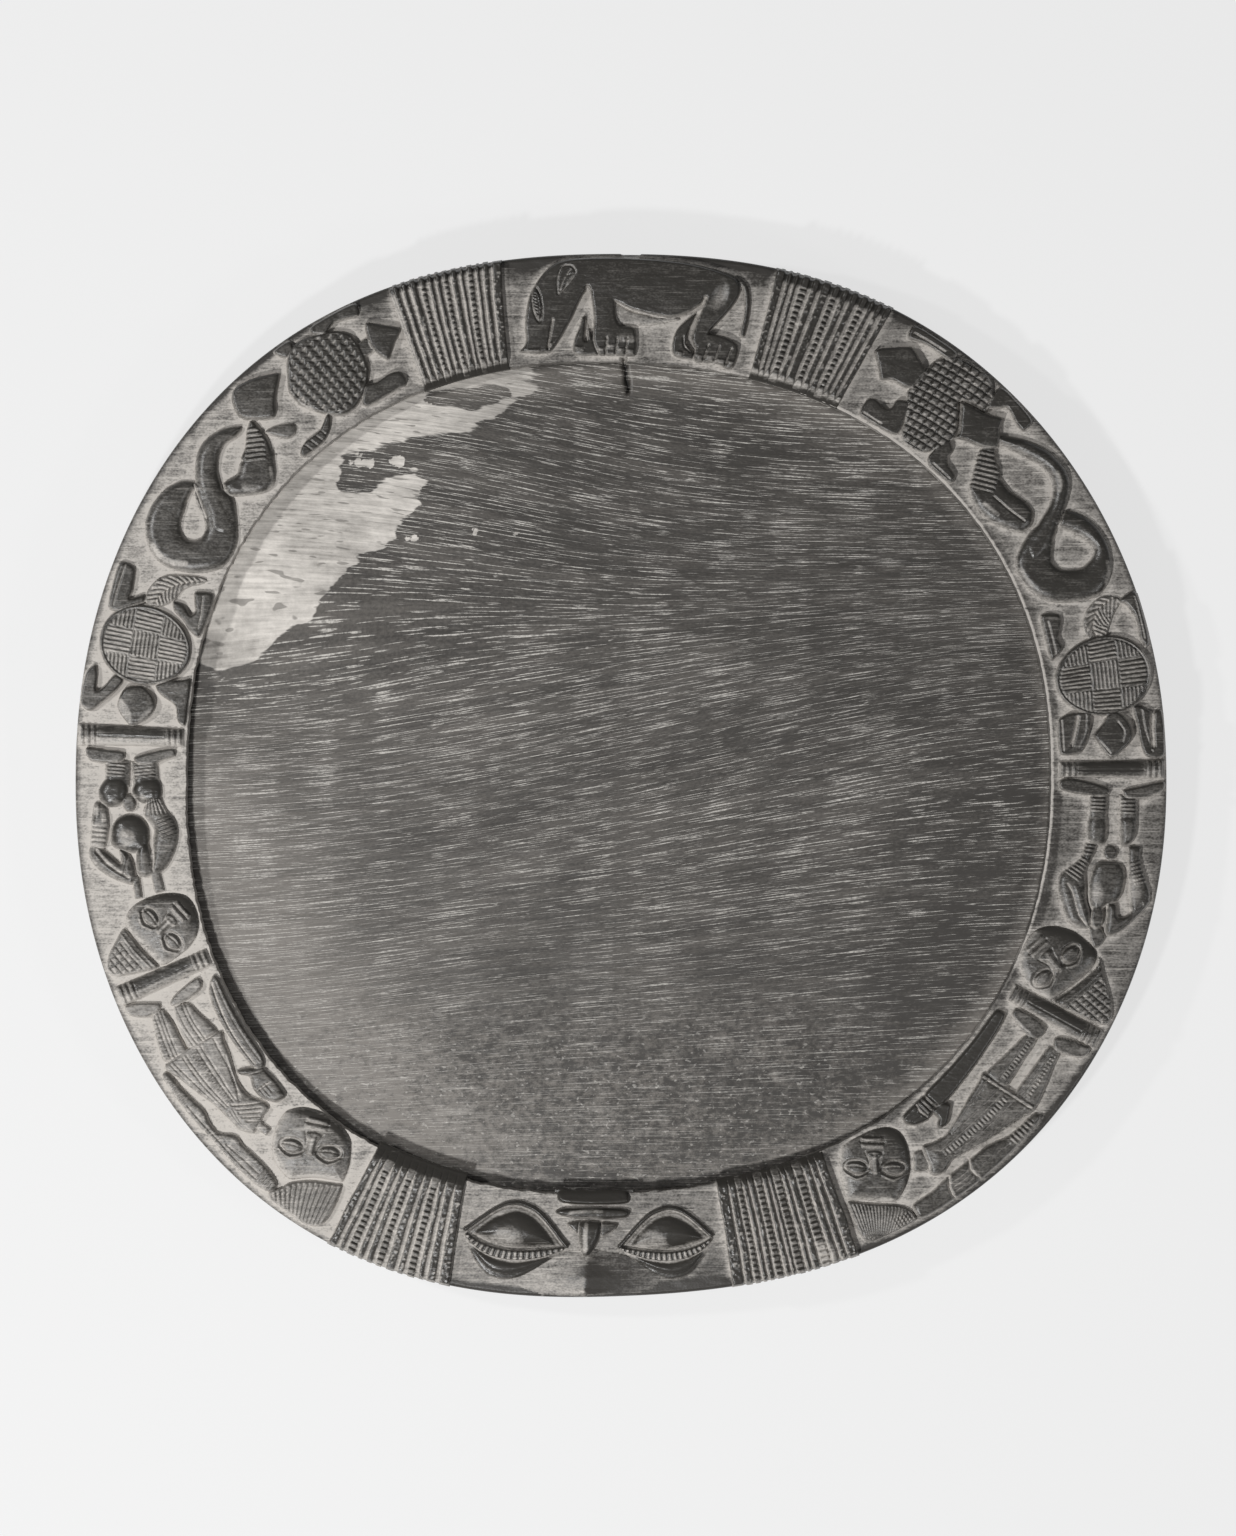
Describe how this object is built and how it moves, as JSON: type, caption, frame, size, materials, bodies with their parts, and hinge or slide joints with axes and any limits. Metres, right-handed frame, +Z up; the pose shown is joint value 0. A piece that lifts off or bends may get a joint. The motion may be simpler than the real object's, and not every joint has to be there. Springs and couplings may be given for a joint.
{
  "type": "divination tray",
  "caption": "Rounded carved wooden tray with a broad low-relief rim and a shallow sunk floor, made to lie flat and hold powder and small objects",
  "frame": {"origin": "middle of the tray's footprint, on the table", "axes": "+X to the right of the carving, +Y to the elephant side away from the face panel, +Z up out of the well"},
  "size_m": [0.4298, 0.411, 0.029],
  "materials": {
    "rim_wood": "hand-cut ground, dull, with pale dust in the hollows",
    "floor_wood": "worn smooth by use, open grain with pale powder in the pores",
    "motif_wood": "dark handled polish on the high places"
  },
  "bodies": {
    "root": {"rim_border": "rim_wood", "floor_board": "floor_wood", "elephant": "motif_wood", "ribbed_panel_back_left": "motif_wood", "ribbed_panel_back_right": "motif_wood", "ribbed_panel_front_left": "motif_wood", "ribbed_panel_front_right": "motif_wood", "face_eye_left": "motif_wood", "face_eye_right": "motif_wood", "face_nose": "motif_wood", "face_lips": "motif_wood", "face_forehead": "motif_wood", "checkered_tortoise_left": "motif_wood", "checkered_tortoise_right": "motif_wood", "serpent_left": "motif_wood", "serpent_right": "motif_wood", "woven_tortoise_left": "motif_wood", "woven_tortoise_right": "motif_wood", "upper_bar_left": "motif_wood", "upper_bar_right": "motif_wood", "standing_figure_left": "motif_wood", "standing_figure_right": "motif_wood", "standing_head_left": "motif_wood", "standing_head_right": "motif_wood", "standing_cap_left": "motif_wood", "standing_cap_right": "motif_wood", "lower_bar_left": "motif_wood", "lower_bar_right": "motif_wood", "robed_figure_left": "motif_wood", "robed_figure_right": "motif_wood", "inner_arm_left": "motif_wood", "inner_arm_right": "motif_wood", "outer_arm_left": "motif_wood", "outer_arm_right": "motif_wood", "robed_head_left": "motif_wood", "robed_head_right": "motif_wood", "robed_cap_left": "motif_wood", "robed_cap_right": "motif_wood"}
  },
  "joints": []
}
